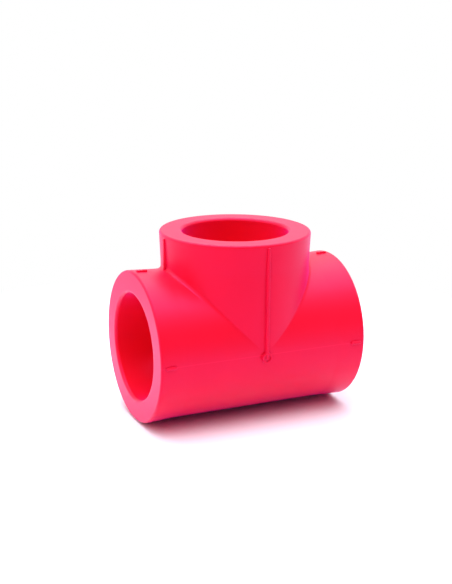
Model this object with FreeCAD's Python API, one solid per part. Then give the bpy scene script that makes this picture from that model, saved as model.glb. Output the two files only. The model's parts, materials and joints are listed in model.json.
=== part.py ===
import FreeCAD, Part
import math
import os

# Equal tee for socket welding, moulded in one piece of polypropylene.
# Millimetres. The origin is where the axis of the branch meets the axis of the run.
# The run lies along X, the branch points up along +Z, and the gate mark faces -Y.

# Sockets, the same on all three arms. The pipe's outside diameter is 40 mm.
SOCKET_RADIUS = 19.6
SOCKET_DEPTH = 20.5
SOCKET_LEAD_IN = 1.2         # radius of the mouth's rounded inner edge
STOP_LEDGE = 4.1            # width of the shoulder that stops the pipe
STOP_EDGE_CHAMFER = 0.6     # on the shoulder's inner edge

# How far the pipe stops are from the crossing of the axes.
RUN_STOP_DISTANCE = 20.0
BRANCH_STOP_DISTANCE = 19.9

# The outside of the arms: a cylinder that widens a little towards the mouth.
SOCKET_WALL = 7.9
MOUTH_FLARE = 0.5           # how much the radius grows from the cylinder to the mouth
FLARE_GAP = 0.5             # from the junction's fillet to where the flare begins
MOUTH_EDGE_ROUND = 0.9
MOUTH_BEVELS = 2            # each round of the mouth is drawn as this many short bevels
JUNCTION_FILLET = 1.5

# Raised ribs along the branch, and short raised marks beside the run's mouths,
# one of each in line with every quarter turn.
RIB_WIDTH = 1.0             # across the rib's face
RIB_HEIGHT = 0.5            # above the widest part of the arm, at its mouth
RIB_SIDE_SLOPE = 8.0        # degrees, so that the rib leaves the mould
RIB_EDGE_ROUND = 0.2
RIB_SETBACK = 1.2           # from the branch's mouth
MARK_SETBACK = 1.8          # from the run's mouth
MARK_LENGTH = 3.9

# The gate mark, where the material came in: a small round boss at the foot of the front rib.
GATE_RADIUS = 2.0
GATE_DROP = 1.0             # its centre is this far below the run's axis
GATE_DIMPLE_RADIUS = 1.3
GATE_DIMPLE_DEPTH = 0.3
GATE_NUB_RADIUS = 0.55

# Sizes that follow from the ones above.
body_radius = SOCKET_RADIUS + SOCKET_WALL
mouth_radius = body_radius + MOUTH_FLARE
waterway_radius = SOCKET_RADIUS - STOP_LEDGE
run_reach = RUN_STOP_DISTANCE + SOCKET_DEPTH
branch_reach = BRANCH_STOP_DISTANCE + SOCKET_DEPTH
flare_start = body_radius + JUNCTION_FILLET + FLARE_GAP
rib_face_radius = mouth_radius + RIB_HEIGHT

ORIGIN = FreeCAD.Vector(0, 0, 0)
ALONG_X = FreeCAD.Vector(1, 0, 0)
ALONG_Y = FreeCAD.Vector(0, 1, 0)
ALONG_Z = FreeCAD.Vector(0, 0, 1)
WHOLE_TURN = 360.0


def turned(shape, angle):
    """The shape, made along +Z, turned about Y by an angle in degrees."""
    copy = shape.copy()
    copy.rotate(ORIGIN, ALONG_Y, angle)
    return copy


def section_point(radius, height):
    """A point of an arm's section: distance from the arm's axis, height along it."""
    return FreeCAD.Vector(radius, 0, height)


def lines(points):
    """The straight edges that join the points of a section in order."""
    return [Part.makeLine(first, second) for first, second in zip(points, points[1:])]


def revolved(edges):
    """A solid of revolution about Z from the closed outline of a section."""
    return Part.Face(Part.Wire(edges)).revolve(ORIGIN, ALONG_Z, WHOLE_TURN)


def mouth_bevels(side, size, reach):
    """A rounded edge of the mouth, from its side to its face, as points of short bevels.
    The side is a radius. The size is positive for the outer edge and negative for the inner one."""
    points = []
    for step in range(MOUTH_BEVELS + 1):
        angle = math.radians(90) * step / MOUTH_BEVELS
        radius = side - size * (1 - math.cos(angle))
        height = reach - abs(size) * (1 - math.sin(angle))
        points.append(section_point(radius, height))
    return points


def arm(reach):
    """The outside of one arm as a solid, from the crossing of the axes out to its mouth."""
    inner = [ORIGIN, section_point(body_radius, 0), section_point(body_radius, flare_start)]
    outer = mouth_bevels(mouth_radius, MOUTH_EDGE_ROUND, reach) + [section_point(0, reach), ORIGIN]
    return revolved(lines(inner + outer))


def junction_edges(shape):
    """The two bent lines where the branch meets the run."""
    found = []
    for edge in shape.Edges:
        middle = edge.valueAt((edge.FirstParameter + edge.LastParameter) / 2)
        from_run_axis = math.hypot(middle.y, middle.z)
        from_branch_axis = math.hypot(middle.x, middle.y)
        on_both = abs(from_run_axis - body_radius) < 0.01 and abs(from_branch_axis - body_radius) < 0.01
        if on_both and middle.z > 0:
            found.append(edge)
    return found


def outside():
    """Run and branch as one solid, with the fillet along their junction: one half and its mirror."""
    run = turned(arm(run_reach), 90).fuse(turned(arm(run_reach), -90))
    shape = run.fuse(arm(branch_reach)).removeSplitter()
    shape = shape.makeFillet(JUNCTION_FILLET, junction_edges(shape))
    size = 2 * (run_reach + branch_reach)
    right = shape.common(Part.makeBox(size, size, size, FreeCAD.Vector(0, -size / 2, -size / 2)))
    return right.fuse(right.mirror(ORIGIN, ALONG_X)).removeSplitter()


def waterway(reach, stop_distance):
    """What is cut from one arm: the passage, the pipe stop, the socket and its rounded lead-in."""
    passage = [
        ORIGIN,
        section_point(waterway_radius, 0),
        section_point(waterway_radius, stop_distance - STOP_EDGE_CHAMFER),
        section_point(waterway_radius + STOP_EDGE_CHAMFER, stop_distance),
        section_point(SOCKET_RADIUS, stop_distance),
    ]
    lead_in = mouth_bevels(SOCKET_RADIUS, -SOCKET_LEAD_IN, reach)
    return revolved(lines(passage + lead_in + [section_point(0, reach), ORIGIN]))


def rib_section():
    """The section of two ribs back to back, with the body between them."""
    slope = math.radians(RIB_SIDE_SLOPE)
    face = RIB_WIDTH / 2
    root_radius = body_radius - RIB_EDGE_ROUND
    root = face + (rib_face_radius - root_radius) * math.tan(slope)
    points = [
        FreeCAD.Vector(root_radius, root, 0),
        FreeCAD.Vector(rib_face_radius, face, 0),
        FreeCAD.Vector(rib_face_radius, -face, 0),
        FreeCAD.Vector(root_radius, -root, 0),
    ]
    points += [-point for point in points]
    return Part.Face(Part.makePolygon(points + points[:1]))


def raised_ribs(start, end):
    """Four ribs, a quarter turn apart, from one height on an arm to another."""
    wall = rib_section().extrude(FreeCAD.Vector(0, 0, end - start))
    wall = wall.makeFillet(RIB_EDGE_ROUND, rib_edges(wall))
    wall.translate(FreeCAD.Vector(0, 0, start))
    crossing = wall.copy()
    crossing.rotate(ORIGIN, ALONG_Z, 90)
    return [wall, crossing]


def rib_edges(wall):
    """The long edges beside the faces of the two ribs."""
    found = []
    for edge in wall.Edges:
        middle = edge.valueAt((edge.FirstParameter + edge.LastParameter) / 2)
        upright = abs(edge.tangentAt(edge.FirstParameter).z) > 0.99
        if upright and abs(abs(middle.x) - rib_face_radius) < 1e-6:
            found.append(edge)
    return found


def branch_ribs():
    """The long ribs of the branch. Their feet are level with the gate mark's centre."""
    return raised_ribs(-GATE_DROP, branch_reach - RIB_SETBACK)


def run_marks():
    """The short marks beside both mouths of the run."""
    end = run_reach - MARK_SETBACK
    marks = raised_ribs(end - MARK_LENGTH, end)
    return [turned(mark, angle) for mark in marks for angle in (90, -90)]


def gate_mark():
    """The round boss on the front, level with the rib's face, and the ring sunk in it."""
    outward = FreeCAD.Vector(0, -1, 0)
    root_radius = body_radius - GATE_RADIUS
    root = FreeCAD.Vector(0, -root_radius, -GATE_DROP)
    boss = Part.makeCylinder(GATE_RADIUS, rib_face_radius - root_radius, root, outward)
    floor = FreeCAD.Vector(0, GATE_DIMPLE_DEPTH - rib_face_radius, -GATE_DROP)
    dimple = Part.makeCylinder(GATE_DIMPLE_RADIUS, GATE_DIMPLE_DEPTH, floor, outward)
    nub = Part.makeCylinder(GATE_NUB_RADIUS, GATE_DIMPLE_DEPTH, floor, outward)
    return boss, dimple.cut(nub)


def waterways():
    """Everything that is cut from the inside, one shape for each arm."""
    run_way = waterway(run_reach, RUN_STOP_DISTANCE)
    return [turned(run_way, 90), turned(run_way, -90), waterway(branch_reach, BRANCH_STOP_DISTANCE)]


def tee_body():
    """The whole tee."""
    boss, dimple = gate_mark()
    shape = outside().fuse(branch_ribs() + run_marks() + [boss])
    return shape.cut(waterways() + [dimple]).removeSplitter().Solids[0]


os.makedirs("parts", exist_ok=True)
tee_body().exportStep("parts/tee_body.step")
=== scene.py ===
"""A socket weld tee, moulded in red polypropylene, standing on a pale studio floor."""

import json
import math

import bpy
from bpy.props import FloatProperty, FloatVectorProperty, IntProperty, PointerProperty
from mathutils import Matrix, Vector


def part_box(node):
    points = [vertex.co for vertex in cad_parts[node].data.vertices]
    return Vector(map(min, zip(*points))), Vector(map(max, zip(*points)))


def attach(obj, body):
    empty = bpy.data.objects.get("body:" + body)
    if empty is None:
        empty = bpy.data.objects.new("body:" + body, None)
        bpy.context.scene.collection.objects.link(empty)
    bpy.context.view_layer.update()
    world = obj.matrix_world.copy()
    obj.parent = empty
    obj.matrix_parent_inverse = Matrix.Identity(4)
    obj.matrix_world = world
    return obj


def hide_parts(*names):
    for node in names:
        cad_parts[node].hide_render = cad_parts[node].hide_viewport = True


bl_info = {
    "name": "Socket Weld Tee",
    "version": (1, 0, 0),
    "blender": (4, 5, 0),
    "location": "View3D > Sidebar > Tee",
    "description": "A moulded plastic equal tee, its finish, and a studio floor to show it on",
    "category": "Add Mesh",
}

MM = 0.001                  # the scene is in metres
MERGE = 0.002 * MM          # points nearer than this are one
SHARP = math.radians(32)    # a bend sharper than this is a moulded edge, not a step of a round
ROUND_STEPS = 6             # straight pieces in a quarter turn of a mouth's edge
ROOT_SHARE = 0.9            # a rib's root is at this share of the wall, from the bore outwards
FOLD_END = 0.08             # the fold is too shallow to round below this share of the radius

# Painted shade: a corner's deeper red sets in and is full where this share of the directions round a
# point is open.
CORNER_SHADE_START, CORNER_SHADE_FULL = 0.985, 0.58

# Each lamp's place and the width of its square, in metres. All aim at the crossing of the axes.
LAMPS = {
    "key_lamp": ((-0.6, 0.0, 0.75), 1.6),
    "top_lamp": ((0.1, 0.05, 0.85), 1.1),
    "ceiling_lamp": ((0.1, 0.05, 0.9), 2.2),
}

# The camera, as fitted to the outline of the tee.
CAMERA_PLACE = (-0.1756, -0.3722, 0.1302)
CAMERA_TARGET = (-0.00342, 0, 0.01666)
CAMERA_ROLL = 0.47          # degrees
SENSOR_WIDTH = 36           # of the camera, in millimetres

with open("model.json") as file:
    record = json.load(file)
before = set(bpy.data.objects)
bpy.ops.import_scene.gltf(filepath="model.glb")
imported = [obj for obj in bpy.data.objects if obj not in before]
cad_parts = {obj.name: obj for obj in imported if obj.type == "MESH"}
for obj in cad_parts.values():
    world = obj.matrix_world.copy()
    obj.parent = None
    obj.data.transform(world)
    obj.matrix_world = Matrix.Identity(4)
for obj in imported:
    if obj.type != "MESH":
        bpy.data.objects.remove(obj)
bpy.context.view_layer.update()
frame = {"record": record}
cad_low, cad_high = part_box("tee_body")
socket_mount = next(m for m in frame["record"]["mounts"] if m["name"] == "branch_socket")


def linear(code):
    """An sRGB hex colour, such as "#E01030", as the linear numbers that shaders take."""
    parts = [int(code[i:i + 2], 16) / 255 for i in (1, 3, 5)]
    return [p / 12.92 if p <= 0.04045 else ((p + 0.055) / 1.055) ** 2.4 for p in parts]


def length(name, description, default):
    """A size in metres, given in millimetres."""
    return FloatProperty(name=name, description=description, default=default * MM, unit="LENGTH",
                         min=0, precision=5)


def colour(name, description, code):
    """A colour, given as sRGB hex."""
    return FloatVectorProperty(name=name, description=description, subtype="COLOR",
                               default=linear(code), min=0, max=1)


class TeeSizes(bpy.types.PropertyGroup):
    """Sizes of the moulding. The reaches and the sockets' radius are the CAD solid's."""

    run_reach: length("Run reach", "From the crossing of the axes to a mouth of the run",
                      cad_high.x / MM)
    branch_reach: length("Branch reach", "From the crossing of the axes to the branch's mouth",
                         cad_high.z / MM)
    socket_radius: length("Socket radius", "Inside radius of the sockets",
                          socket_mount["dims"]["r_mm"])
    socket_depth: length("Socket depth", "From a mouth to the pipe stop", 20.5)
    socket_lead_in: length("Socket lead-in", "Radius of the mouth's rounded inner edge", 1.2)
    stop_ledge: length("Stop ledge", "Width of the shoulder that stops the pipe", 4.1)
    stop_chamfer: length("Stop chamfer", "On the shoulder's inner edge", 0.6)
    socket_wall: length("Socket wall", "Thickness of the wall by the junction", 7.9)
    mouth_flare: length("Mouth flare", "How much an arm widens towards its mouth", 0.5)
    flare_start: length("Flare start", "From the crossing to where an arm begins to widen", 29.5)
    flare_easing: length("Flare easing", "Half the length over which the flare sets in", 0.4)
    mouth_round: length("Mouth round", "Radius of the mouth's outer edge", 0.9)
    junction_fillet: length("Junction fillet", "Radius where the branch meets the run", 1.5)
    edge_round: length("Edge round", "Radius that every moulded edge has", 0.12)
    rib_width: length("Rib width", "Across a rib's face", 1.0)
    rib_round: length("Rib round", "Radius of the edges of a rib's face", 0.2)
    rib_slope: FloatProperty(name="Rib slope", default=math.radians(8), min=0, subtype="ANGLE",
                             description="Of a rib's sides, so that it leaves the mould")
    rib_setback: length("Rib setback", "From the branch's mouth to the end of a rib", 1.2)
    mark_setback: length("Mark setback", "From a run's mouth to its marks", 1.8)
    mark_length: length("Mark length", "Length of the marks on the run", 3.9)
    gate_radius: length("Gate radius", "Radius of the gate mark's boss", 2.0)
    gate_drop: length("Gate drop", "How far the gate mark is below the run's axis", 1.0)
    gate_ring: length("Gate ring", "Outside radius of the ring sunk in the gate mark", 1.3)
    gate_nub: length("Gate nub", "Radius of the nub within the ring", 0.55)
    gate_depth: length("Gate depth", "Depth of the ring", 0.3)
    segments: IntProperty(name="Segments", description="Straight pieces in a whole turn",
                          default=160, min=16, step=4)


class TeeFinish(bpy.types.PropertyGroup):
    """Colours and gloss of the moulded plastic, and the painted shade and highlight on it."""

    red: colour("Red", "The plastic's own colour", "#EC0C14")
    red_deep: colour("Deep red", "Where the pigment flowed thicker", "#E40A10")
    # Painted shade: the deeper red that the corners of ribs and marks are painted with.
    red_corner_shade: colour("Corner red", "In the corners of ribs and marks", "#DA0006")
    # Painted highlight: the paler red of the witness line's ridge.
    red_witness_highlight: colour("Witness line red", "Where the halves of the mould meet", "#F01A2A")
    gloss_tint: colour("Gloss tint", "Of the soft gloss, seen from straight above", "#FF7CFF")
    sheen_tint: colour("Sheen tint", "Of the pink haze, seen along the surface", "#FF4BFF")
    roughness: FloatProperty(name="Roughness", default=0.37, min=0, max=1, subtype="FACTOR",
                             description="Of the moulded surface")
    witness_spread: length("Witness line spread", "From its middle to where it has faded out", 0.22)
    flow: length("Flow size", "Of the cloudy patches where the melt flowed", 25)
    # How far the painted shade of a corner reaches.
    corner_shade_reach: length("Corner reach", "How far the deeper red of a corner reaches", 1.3)
    grain: length("Grain size", "Of the fine unevenness that the mould leaves", 0.6)


class StageSettings(bpy.types.PropertyGroup):
    """The floor, the lamps and the camera."""

    floor: colour("Floor", "The floor's colour", "#FAF6FF")
    fill: colour("Fill", "Of the soft light from all round, cooler than the lamps", "#B0A8FF")
    fill_strength: FloatProperty(name="Fill strength", default=0.16, min=0,
                                 description="Of the soft light from all round")
    shadow_reach: length("Shadow reach", "From the middle to where the floor turns white", 120)
    shadow_end: length("Shadow end", "From the middle to where the floor is plain white", 200)
    floor_width: length("Floor width", "Across the floor's disc", 6000)
    lens: FloatProperty(name="Lens", default=70.31, min=10, max=300, subtype="DISTANCE_CAMERA",
                        description="Focal length of the camera, in millimetres")
    key_power: FloatProperty(name="Key light", default=9.3, min=0, unit="POWER",
                             description="Power of the soft lamp high on the left")
    top_power: FloatProperty(name="Top light", default=10.2, min=0, unit="POWER",
                             description="Power of the soft lamp overhead")
    ceiling_power: FloatProperty(name="Ceiling light", default=13.3, min=0, unit="POWER",
                                 description="Power of the wide white ceiling")


# Modelling helpers

def start_fresh():
    """Object mode, with nothing selected."""
    if bpy.context.mode != "OBJECT":
        bpy.ops.object.mode_set(mode="OBJECT")
    bpy.ops.object.select_all(action="DESELECT")


def select_only(*objects):
    """Selects these objects, the first of them active."""
    start_fresh()
    for item in objects:
        item.select_set(True)
    bpy.context.view_layer.objects.active = objects[0]


def named(name):
    """The active object, with this name."""
    piece = bpy.context.active_object
    piece.name = piece.data.name = name
    return piece


def extrude(x=0.0, y=0.0, z=0.0):
    """Extrudes what is selected by a move."""
    bpy.ops.mesh.extrude_region_move(TRANSFORM_OT_translate={"value": (x, y, z)})


def cut_away(plane_normal):
    """Cuts the whole mesh with a plane through the crossing of the axes. What is behind it goes."""
    bpy.ops.mesh.select_all(action="SELECT")
    bpy.ops.mesh.bisect(plane_co=(0, 0, 0), plane_no=plane_normal, clear_inner=True,
                        threshold=MERGE)


def use_modifier(piece, kind, **settings):
    """Adds a modifier with its settings and applies it."""
    modifier = piece.modifiers.new(kind.title(), kind)
    for key, value in settings.items():
        setattr(modifier, key, value)
    bpy.context.view_layer.objects.active = piece
    bpy.ops.object.modifier_apply(modifier=modifier.name)


# The moulding

def arm_rings(sizes, reach):
    """Radius and height of an arm's rings, from the waterway out through the mouth and back."""
    waterway = sizes.socket_radius - sizes.stop_ledge
    stop = reach - sizes.socket_depth
    body = sizes.socket_radius + sizes.socket_wall
    mouth = body + sizes.mouth_flare
    rings = [
        (waterway, 0),
        (waterway, stop - sizes.stop_chamfer),
        (waterway + sizes.stop_chamfer, stop),
        (sizes.socket_radius, stop),
    ]
    angles = [math.radians(90) * step / ROUND_STEPS for step in range(ROUND_STEPS + 1)]
    for angle in angles:
        rings.append((sizes.socket_radius + sizes.socket_lead_in * (1 - math.cos(angle)),
                      reach - sizes.socket_lead_in * (1 - math.sin(angle))))
    for angle in angles:
        rings.append((mouth - sizes.mouth_round * (1 - math.sin(angle)),
                      reach - sizes.mouth_round * (1 - math.cos(angle))))
    easing = sizes.flare_easing
    slope = sizes.mouth_flare / (reach - sizes.mouth_round - sizes.flare_start)
    return rings + [
        (body + slope * easing, sizes.flare_start + easing),
        (body + slope * easing / 4, sizes.flare_start),
        (body, sizes.flare_start - easing),
        (body, 0),
    ]


def model_arm(name, sizes, reach):
    """One arm as an open shell along +Z: a ring extruded and scaled from step to step."""
    start_fresh()
    rings = arm_rings(sizes, reach)
    radius, height = rings[0]
    bpy.ops.mesh.primitive_circle_add(vertices=sizes.segments, radius=radius,
                                      location=(0, 0, height))
    arm = named(name)
    bpy.ops.object.mode_set(mode="EDIT")
    bpy.ops.mesh.select_all(action="SELECT")
    for next_radius, next_height in rings[1:]:
        extrude(z=next_height - height)
        scale = next_radius / radius
        bpy.ops.transform.resize(value=(scale, scale, 1), center_override=(0, 0, next_height))
        radius, height = next_radius, next_height
    bpy.ops.object.mode_set(mode="OBJECT")
    return arm


def turn(piece, axis, angle):
    """Turns a piece about an axis through the crossing by an angle in degrees, in its mesh."""
    select_only(piece)
    setattr(piece.rotation_euler, axis, math.radians(angle))
    bpy.ops.object.transform_apply(location=True, rotation=True, scale=True)


def close_seams():
    """Merges the points of the active object that meet, and points its faces outwards."""
    bpy.ops.object.mode_set(mode="EDIT")
    bpy.ops.mesh.select_all(action="SELECT")
    bpy.ops.mesh.remove_doubles(threshold=MERGE)
    bpy.ops.mesh.normals_make_consistent(inside=False)
    bpy.ops.object.mode_set(mode="OBJECT")


def join(name, pieces):
    """Joins pieces into one object and closes the seams between them."""
    select_only(*pieces)
    bpy.ops.object.join()
    close_seams()
    return named(name)


def fuse(piece, details):
    """Fuses the details with the piece into one closed mesh."""
    use_modifier(piece, "BOOLEAN", operation="UNION", object=details, solver="EXACT", use_self=True)
    bpy.data.objects.remove(details)
    select_only(piece)
    close_seams()


def mitred_arms(sizes):
    """The three arms, cut where they meet along the planes between them, as one shell."""
    right = model_arm("right_arm", sizes, sizes.run_reach)
    turn(right, "y", 90)
    left = model_arm("left_arm", sizes, sizes.run_reach)
    turn(left, "y", -90)
    branch = model_arm("branch_arm", sizes, sizes.branch_reach)
    cuts = ((right, [(1, 0, -1)]), (left, [(-1, 0, -1)]), (branch, [(-1, 0, 1), (1, 0, 1)]))
    for arm, normals in cuts:
        select_only(arm)
        bpy.ops.object.mode_set(mode="EDIT")
        for normal in normals:
            cut_away(normal)
        bpy.ops.object.mode_set(mode="OBJECT")
    return join("tee_moulding", [branch, right, left])


def round_junction(tee, sizes):
    """Rounds the bent line between branch and run as a ball of the fillet's radius would:
    widest at the top of the run, fading out where the two walls run into each other."""
    body = sizes.socket_radius + sizes.socket_wall
    mesh = tee.data
    weights = mesh.attributes.new("bevel_weight_edge", "FLOAT", "EDGE")
    for edge in mesh.edges:
        ends = [mesh.vertices[i].co for i in edge.vertices]
        middle = (ends[0] + ends[1]) / 2
        on_line = all(
            abs(end.z - abs(end.x)) < MERGE and abs(math.hypot(end.y, end.z) - body) < MERGE * 2
            for end in ends
        )
        if on_line and middle.z > FOLD_END * body:
            bend = math.acos(min(1, middle.y ** 2 / body ** 2))
            weights.data[edge.index].value = math.tan(bend / 2)
    use_modifier(tee, "BEVEL", limit_method="WEIGHT", width=sizes.junction_fillet, segments=7)


def raised_strip(name, sizes, start, end):
    """A rib along +Z on the -Y side, from one height to another. Its root is sunk in the wall, and
    its face is level with the solid's front."""
    face = -cad_high.y
    root = -(sizes.socket_radius + sizes.socket_wall * ROOT_SHARE)
    start_fresh()
    middle = ((face + root) / 2, (start + end) / 2)
    bpy.ops.mesh.primitive_cube_add(size=1, location=(0, *middle))
    strip = named(name)
    strip.scale = (sizes.rib_width, abs(face - root), end - start)
    bpy.ops.object.transform_apply(location=True, rotation=True, scale=True)
    bpy.ops.object.mode_set(mode="EDIT")
    bpy.ops.mesh.select_all(action="DESELECT")
    bpy.ops.object.mode_set(mode="OBJECT")
    for polygon in strip.data.polygons:
        polygon.select = polygon.normal.y > 0.9     # the root
    bpy.ops.object.mode_set(mode="EDIT")
    widening = 1 + 2 * abs(face - root) * math.tan(sizes.rib_slope) / sizes.rib_width
    bpy.ops.transform.resize(value=(widening, 1, 1), center_override=(0, root, 0))
    bpy.ops.object.mode_set(mode="OBJECT")
    use_modifier(strip, "BEVEL", limit_method="ANGLE", angle_limit=math.radians(60),
                 width=sizes.rib_round, segments=3)
    return strip


def turned_copies(strip, angles):
    """Copies of the strip, each turned about Z by one of the angles."""
    strips = []
    for angle in angles:
        copy = strip.copy()
        copy.data = strip.data.copy()
        bpy.context.scene.collection.objects.link(copy)
        turn(copy, "z", angle)
        strips.append(copy)
    return strips


def raised_lines(sizes):
    """The branch's four long ribs, and four short marks at each mouth of the run."""
    end = sizes.branch_reach - sizes.rib_setback
    front = raised_strip("branch_rib", sizes, -sizes.gate_drop, end)
    # The ribs at the sides stand on the run. They start within its wall, clear of its bore.
    right = raised_strip("side_rib", sizes, sizes.socket_radius + sizes.socket_wall / 2, end)
    turn(right, "z", 90)
    lines = [front, right] + turned_copies(front, [180]) + turned_copies(right, [180])
    end = sizes.run_reach - sizes.mark_setback
    for side in (90, -90):
        mark = raised_strip("run_mark", sizes, end - sizes.mark_length, end)
        marks = [mark] + turned_copies(mark, [90, 180, 270])
        for mark in marks:
            turn(mark, "y", side)
        lines += marks
    return lines


def gate_boss(sizes):
    """The boss where the plastic came in, with a ring sunk round a nub."""
    root = -(sizes.socket_radius + sizes.socket_wall) + sizes.gate_radius
    start_fresh()
    bpy.ops.mesh.primitive_circle_add(vertices=48, radius=sizes.gate_radius, fill_type="NGON",
                                      location=(0, root, -sizes.gate_drop),
                                      rotation=(math.radians(90), 0, 0))
    boss = named("gate_boss")
    bpy.ops.object.transform_apply(location=True, rotation=True, scale=True)
    bpy.ops.object.mode_set(mode="EDIT")
    bpy.ops.mesh.select_all(action="SELECT")
    extrude(y=-cad_high.y - root)
    bpy.ops.mesh.inset(thickness=sizes.gate_radius - sizes.gate_ring)
    extrude(y=sizes.gate_depth)
    bpy.ops.mesh.inset(thickness=sizes.gate_ring - sizes.gate_nub)
    extrude(y=-sizes.gate_depth)
    bpy.ops.object.mode_set(mode="OBJECT")
    return boss


class TEE_OT_moulding(bpy.types.Operator):
    """Model the tee: three mitred arms, the fillet between them, ribs, marks and gate mark"""

    bl_idname = "tee.moulding"
    bl_label = "Moulding"

    def execute(self, context):
        sizes = context.scene.tee_sizes
        tee = mitred_arms(sizes)
        round_junction(tee, sizes)
        details = join("raised_details", [gate_boss(sizes)] + raised_lines(sizes))
        for piece in (tee, details):
            use_modifier(piece, "BEVEL", limit_method="ANGLE", angle_limit=SHARP,
                         width=sizes.edge_round, segments=2)
        fuse(tee, details)
        bpy.ops.object.shade_smooth_by_angle(angle=math.radians(40))
        use_modifier(tee, "WEIGHTED_NORMAL", keep_sharp=True)
        tee.data.materials.append(moulded_polypropylene(context.scene.tee_finish, sizes))
        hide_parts("tee_body")
        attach(tee, "root")
        return {"FINISHED"}


# Finish

def add_node(tree, kind, settings=(), inputs=(), links=()):
    """A node with its settings, its input values, and links into its inputs."""
    node = tree.nodes.new(kind)
    for key, value in dict(settings).items():
        setattr(node, key, value)
    for key, value in dict(inputs).items():
        node.inputs[key].default_value = value
    for key, socket in dict(links).items():
        tree.links.new(socket, node.inputs[key])
    return node


def new_material(name):
    """A material with an empty node tree."""
    material = bpy.data.materials.new(name)
    material.use_nodes = True
    material.node_tree.nodes.clear()
    return material, material.node_tree


def fade(tree, coordinate, gone, full):
    """From none to one as the coordinate's distance from zero goes from gone to full."""
    distance = add_node(tree, "ShaderNodeMath", {"operation": "ABSOLUTE"}, links={0: coordinate})
    share = add_node(tree, "ShaderNodeMapRange", inputs={"From Min": gone, "From Max": full},
                     links={"Value": distance.outputs[0]})
    return share.outputs["Result"]


def moulded_polypropylene(finish, sizes):
    """Polypropylene, injection moulded with a red pigment: a satin skin with a soft gloss, slightly
    uneven where the melt flowed, and a faint grain from the mould."""
    material, tree = new_material("red_polypropylene")
    place = add_node(tree, "ShaderNodeTexCoord").outputs["Object"]
    # Flow: cloudy patches, a little deeper in colour and duller or glossier.
    flow = add_node(tree, "ShaderNodeTexNoise", inputs={"Scale": 1 / finish.flow, "Detail": 2.0},
                    links={"Vector": place})
    tint = add_node(tree, "ShaderNodeMix", {"data_type": "RGBA"},
                    {"A": (*finish.red_deep, 1), "B": (*finish.red, 1)},
                    {"Factor": flow.outputs["Fac"]})
    # Corners: painted shade, a deeper red in the first millimetre, where light is caught between the
    # walls.
    corner_occlusion = add_node(tree, "ShaderNodeAmbientOcclusion", {"samples": 8},
                      {"Distance": finish.corner_shade_reach})
    corner_shade = add_node(tree, "ShaderNodeMapRange",
                      inputs={"From Min": CORNER_SHADE_START, "From Max": CORNER_SHADE_FULL},
                      links={"Value": corner_occlusion.outputs["AO"]})
    skin_colour = add_node(tree, "ShaderNodeMix", {"data_type": "RGBA"},
                           {"B": (*finish.red_corner_shade, 1)},
                           {"Factor": corner_shade.outputs["Result"], "A": tint.outputs[2]})
    # Witness line: the mould's halves meet in the plane Z = 0, along the run's front and back, in a
    # slight ridge with a painted highlight that makes it a little paler than the rest. How far it is
    # from the plane Y = 0 tells the outer wall.
    axes = add_node(tree, "ShaderNodeSeparateXYZ", links={0: place})
    body = sizes.socket_radius + sizes.socket_wall
    mouth = body + sizes.mouth_flare
    witness_ridge_and_highlight = fade(tree, axes.outputs["Z"], finish.witness_spread, finish.witness_spread / 4)
    not_in_bores = fade(tree, axes.outputs["Y"], body - 1.5 * MM, body - 1.0 * MM)
    not_on_ribs = fade(tree, axes.outputs["Y"], mouth + 0.05 * MM, mouth - 0.05 * MM)
    for share in (not_in_bores, not_on_ribs):
        witness_ridge_and_highlight = add_node(tree, "ShaderNodeMath", {"operation": "MULTIPLY"},
                           links={0: witness_ridge_and_highlight, 1: share}).outputs[0]
    skin_colour = add_node(tree, "ShaderNodeMix", {"data_type": "RGBA"},
                           {"B": (*finish.red_witness_highlight, 1)},
                           {"Factor": witness_ridge_and_highlight, "A": skin_colour.outputs[2]})
    # Grain: the real one is finer than 0.1 mm, drawn coarser so that it shows.
    grain = add_node(tree, "ShaderNodeTexNoise", inputs={"Scale": 1 / finish.grain, "Detail": 3.0},
                     links={"Vector": place})
    relief = add_node(tree, "ShaderNodeMath", {"operation": "ADD"},
                      links={0: grain.outputs["Fac"], 1: witness_ridge_and_highlight})
    bump = add_node(tree, "ShaderNodeBump", inputs={"Strength": 0.15, "Distance": 0.02 * MM},
                    links={"Height": relief.outputs[0]})
    gloss = add_node(tree, "ShaderNodeMapRange",
                     inputs={"To Min": finish.roughness - 0.05, "To Max": finish.roughness + 0.05},
                     links={"Value": flow.outputs["Fac"]})
    # The gloss and the haze over it are tinted, because the real plastic's highlights are pink.
    skin = add_node(tree, "ShaderNodeBsdfPrincipled",
                    inputs={"IOR": 1.49, "Specular IOR Level": 0.44,
                            "Specular Tint": (*finish.gloss_tint, 1), "Sheen Weight": 0.26,
                            "Sheen Roughness": 0.5, "Sheen Tint": (*finish.sheen_tint, 1)},
                    links={"Base Color": skin_colour.outputs[2],
                           "Roughness": gloss.outputs["Result"], "Normal": bump.outputs["Normal"]})
    add_node(tree, "ShaderNodeOutputMaterial", links={"Surface": skin.outputs["BSDF"]})
    return material


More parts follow.
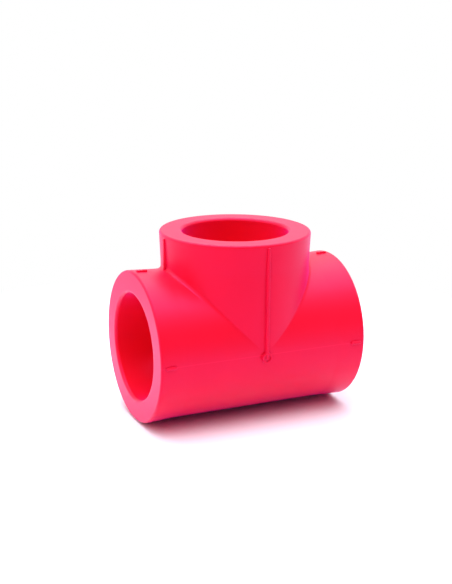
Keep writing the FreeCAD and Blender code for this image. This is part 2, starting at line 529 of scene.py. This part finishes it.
def pale_floor(stage):
    """Paper, matt: a pale ground that keeps the soft shadow round the tee, and that the camera and
    the gloss see as plain white further out, so that it runs into the background."""
    material, tree = new_material("pale_paper")
    paper = add_node(tree, "ShaderNodeBsdfPrincipled",
                     inputs={"Base Color": (*stage.floor, 1), "Roughness": 0.9,
                             "Specular IOR Level": 0.0})
    white = studio_white(tree)
    place = add_node(tree, "ShaderNodeTexCoord").outputs["Object"]
    away = add_node(tree, "ShaderNodeVectorMath", {"operation": "LENGTH"}, links={0: place})
    far = add_node(tree, "ShaderNodeMapRange", {"interpolation_type": "SMOOTHSTEP"},
                   {"From Min": stage.shadow_reach, "From Max": stage.shadow_end},
                   {"Value": away.outputs["Value"]})
    seen = add_node(tree, "ShaderNodeMath", {"operation": "MULTIPLY"},
                    links={0: far.outputs["Result"], 1: camera_or_gloss(tree)})
    mix = add_node(tree, "ShaderNodeMixShader",
                   links={0: seen.outputs[0], 1: paper.outputs["BSDF"], 2: white})
    add_node(tree, "ShaderNodeOutputMaterial", links={"Surface": mix.outputs[0]})
    return material


def studio_white(tree):
    """Plain white, at the strength that shows as white and no more."""
    return add_node(tree, "ShaderNodeBackground",
                    inputs={"Color": (1, 1, 1, 1), "Strength": 1.0}).outputs[0]


def camera_or_gloss(tree):
    """One for rays from the camera, and for what shows in gloss or through clear parts."""
    rays = add_node(tree, "ShaderNodeLightPath")
    total = rays.outputs["Is Camera Ray"]
    for kind in ("Is Glossy Ray", "Is Transmission Ray"):
        total = add_node(tree, "ShaderNodeMath", {"operation": "ADD", "use_clamp": True},
                         links={0: total, 1: rays.outputs[kind]}).outputs[0]
    return total


# Stage

def add_floor(stage):
    """A wide disc level with the tee's underside."""
    start_fresh()
    bpy.ops.mesh.primitive_circle_add(vertices=64, radius=stage.floor_width / 2, fill_type="NGON",
                                      location=(0, 0, cad_low.z))
    floor = named("studio_floor")
    floor.data.materials.append(pale_floor(stage))


def white_surroundings(stage):
    """A world that the camera and the gloss see as white, and that lights the tee only softly."""
    world = bpy.data.worlds.new("white_surroundings")
    world.use_nodes = True
    tree = world.node_tree
    tree.nodes.clear()
    white = studio_white(tree)
    soft = add_node(tree, "ShaderNodeBackground",
                    inputs={"Color": (*stage.fill, 1), "Strength": stage.fill_strength})
    mix = add_node(tree, "ShaderNodeMixShader",
                   links={0: camera_or_gloss(tree), 1: soft.outputs[0], 2: white})
    add_node(tree, "ShaderNodeOutputWorld", links={"Surface": mix.outputs[0]})
    return world


def aim(piece, target):
    """Turns a lamp or camera at a point."""
    piece.rotation_euler = (Vector(target) - piece.location).to_track_quat("-Z", "Y").to_euler()


def add_lamp(name, power):
    """A square soft lamp, aimed at the crossing of the axes."""
    place, width = LAMPS[name]
    start_fresh()
    bpy.ops.object.light_add(type="AREA", location=place)
    lamp = bpy.context.active_object
    lamp.name = name
    lamp.data.energy, lamp.data.size = power, width
    aim(lamp, (0, 0, 0))


def add_camera(stage):
    """The camera that sees the tee as the photo does."""
    bpy.ops.object.camera_add(location=CAMERA_PLACE)
    camera = bpy.context.active_object
    camera.name = "photo_camera"
    aim(camera, CAMERA_TARGET)
    camera.rotation_euler.rotate_axis("Z", math.radians(CAMERA_ROLL))
    camera.data.lens, camera.data.sensor_width = stage.lens, SENSOR_WIDTH
    return camera


class TEE_OT_stage(bpy.types.Operator):
    """Set out the floor, the soft lamps, the white surroundings and the camera"""

    bl_idname = "tee.stage"
    bl_label = "Stage"

    def execute(self, context):
        stage = context.scene.tee_stage
        add_floor(stage)
        context.scene.world = white_surroundings(stage)
        add_lamp("key_lamp", stage.key_power)
        add_lamp("top_lamp", stage.top_power)
        add_lamp("ceiling_lamp", stage.ceiling_power)
        context.scene.camera = add_camera(stage)
        context.scene.view_settings.view_transform = "Standard"
        return {"FINISHED"}


class TEE_PT_panel(bpy.types.Panel):
    """The tee's sizes, finish and stage"""

    bl_idname = "TEE_PT_panel"
    bl_label = "Socket Weld Tee"
    bl_space_type = "VIEW_3D"
    bl_region_type = "UI"
    bl_category = "Tee"

    def draw(self, context):
        for operator in (TEE_OT_moulding, TEE_OT_stage):
            self.layout.operator(operator.bl_idname)
        for key, group in GROUPS.items():
            self.layout.label(text=group.__doc__)
            for name in group.__annotations__:
                self.layout.prop(getattr(context.scene, key), name)


CLASSES = (TeeSizes, TeeFinish, StageSettings, TEE_OT_moulding, TEE_OT_stage, TEE_PT_panel)
GROUPS = {"tee_sizes": TeeSizes, "tee_finish": TeeFinish, "tee_stage": StageSettings}


def register():
    for item in CLASSES:
        bpy.utils.register_class(item)
    for key, group in GROUPS.items():
        setattr(bpy.types.Scene, key, PointerProperty(type=group))


def unregister():
    for key in GROUPS:
        delattr(bpy.types.Scene, key)
    for item in reversed(CLASSES):
        bpy.utils.unregister_class(item)


def main():
    register()
    bpy.ops.tee.moulding()
    bpy.ops.tee.stage()


if __name__ == "__main__":
    main()
